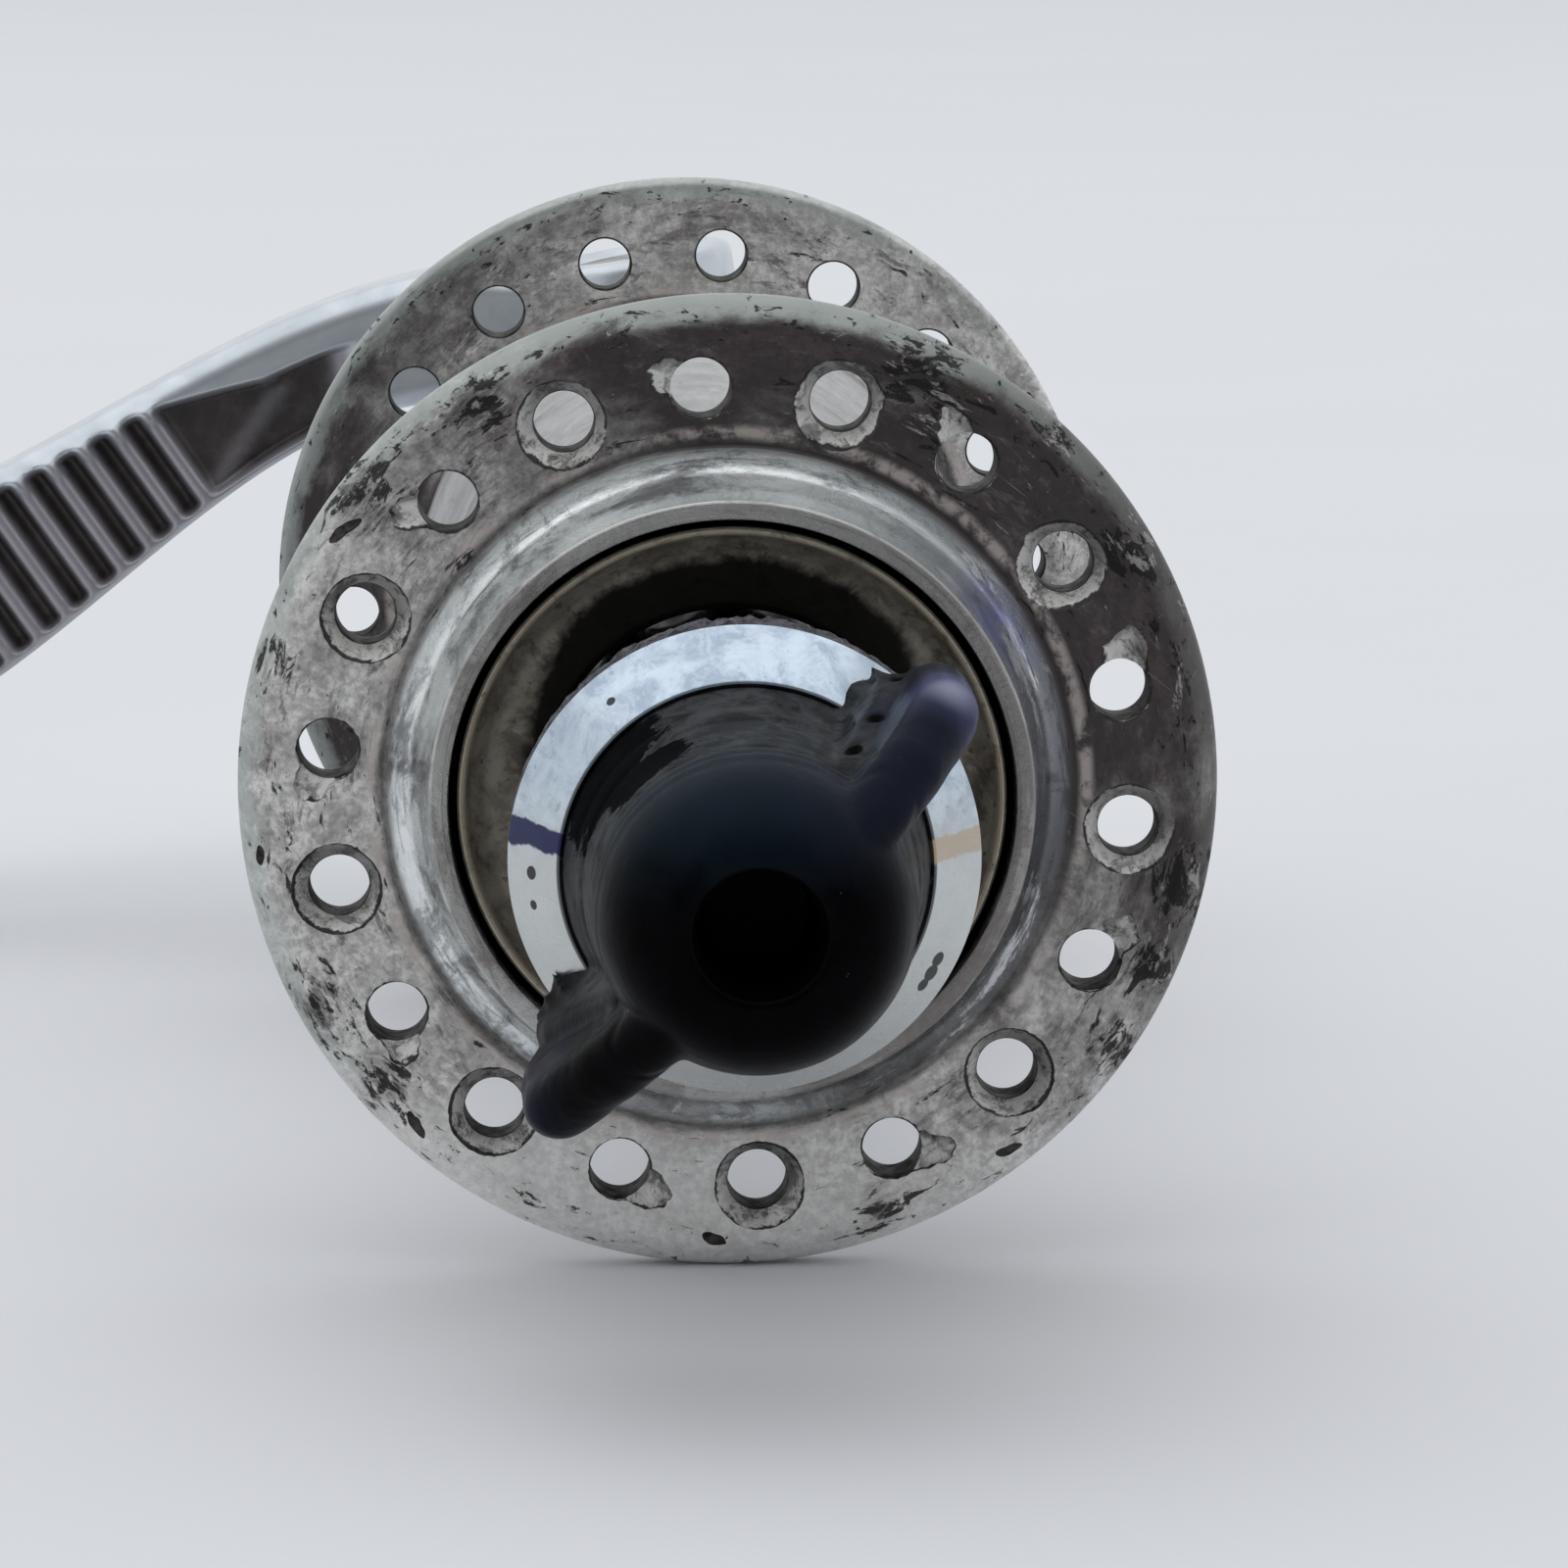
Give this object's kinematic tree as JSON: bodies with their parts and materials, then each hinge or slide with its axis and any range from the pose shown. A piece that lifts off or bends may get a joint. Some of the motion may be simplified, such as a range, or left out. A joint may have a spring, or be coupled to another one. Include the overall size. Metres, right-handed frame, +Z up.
{
  "type": "bicycle front hub",
  "caption": "Bicycle front hub with drilled flanges, loose-ball bearings, a hollow axle and a quick-release skewer with a cam lever and a winged adjusting nut.",
  "frame": {"origin": "the hub's centre on the axle line, midway between the two flanges", "axes": "+Y along the axle towards the lever, -Y towards the adjusting nut, +Z up, +X to the right as seen from the nut's end"},
  "size_m": [0.0805, 0.1504, 0.044],
  "materials": {
    "shell_alloy": "aged, satin",
    "cup_steel": "ground",
    "cap_bronze": "pressed, stained",
    "ball_steel": "polished",
    "cone_steel": "turned",
    "washer_steel": "plated",
    "locknut_steel": "plated",
    "axle_steel": "threaded",
    "rod_steel": "plated",
    "nut_plate": "worn polish",
    "spring_steel": "drawn wire",
    "housing_plate": "satin plating",
    "shaft_steel": "ground",
    "lever_plate": "polished casting"
  },
  "bodies": {
    "axle": {"axle": "axle_steel", "cone_left": "cone_steel", "cone_right": "cone_steel", "lock_washer_left": "washer_steel", "lock_washer_right": "washer_steel", "locknut_left": "locknut_steel", "locknut_right": "locknut_steel"},
    "shell": {"hub_shell": "shell_alloy", "bearing_cup_left": "cup_steel", "bearing_cup_right": "cup_steel", "dust_cap_left": "cap_bronze", "dust_cap_right": "cap_bronze"},
    "balls_left": {"bearing_balls_left": "ball_steel"},
    "balls_right": {"bearing_balls_right": "ball_steel"},
    "cam_housing": {"cam_housing": "housing_plate", "spring_left": "spring_steel"},
    "lever": {"lever": "lever_plate", "cam_shaft": "shaft_steel", "cam_cap_nut": "housing_plate"},
    "rod": {"skewer_rod": "rod_steel"},
    "nut_slider": {"spring_right": "spring_steel"},
    "nut": {"adjusting_nut": "nut_plate"}
  },
  "joints": [
    {"name": "shell_spin", "type": "hinge", "parent": "axle", "child": "shell", "pos_m": [0, 0, 0], "axis": [0, 1, 0], "continuous": true},
    {"name": "ball_orbit_left", "type": "hinge", "parent": "axle", "child": "balls_left", "pos_m": [0, 0.0345, 0], "axis": [0, 1, 0], "continuous": true},
    {"name": "ball_orbit_right", "type": "hinge", "parent": "axle", "child": "balls_right", "pos_m": [0, -0.0345, 0], "axis": [0, 1, 0], "continuous": true},
    {"name": "skewer_turn", "type": "hinge", "parent": "axle", "child": "cam_housing", "pos_m": [0, 0.065, 0], "axis": [0, 1, 0], "continuous": true},
    {"name": "lever_throw", "type": "hinge", "parent": "cam_housing", "child": "lever", "pos_m": [0, 0.0668, 0], "axis": [0.165, 0, -0.9863], "range_deg": [0, 180]},
    {"name": "rod_pull", "type": "slide", "parent": "cam_housing", "child": "rod", "axis": [0, -1, 0], "range_m": [0, 0.0022]},
    {"name": "nut_travel", "type": "slide", "parent": "rod", "child": "nut_slider", "axis": [0, 1, 0], "range_m": [-0.0024, 0.0024], "deforming": ["spring_right"]},
    {"name": "nut_turn", "type": "hinge", "parent": "nut_slider", "child": "nut", "pos_m": [0, -0.064, 0], "axis": [0, 1, 0], "range_deg": [-1080, 1080]}
  ],
  "couplings": [
    {"joint": "ball_orbit_left", "follows": "shell_spin", "ratio": 0.5979},
    {"joint": "ball_orbit_right", "follows": "shell_spin", "ratio": 0.5979},
    {"joint": "rod_pull", "follows": "lever_throw", "m_per_rad": 0.00070028},
    {"joint": "nut_travel", "follows": "nut_turn", "m_per_rad": 0.00012732}
  ]
}
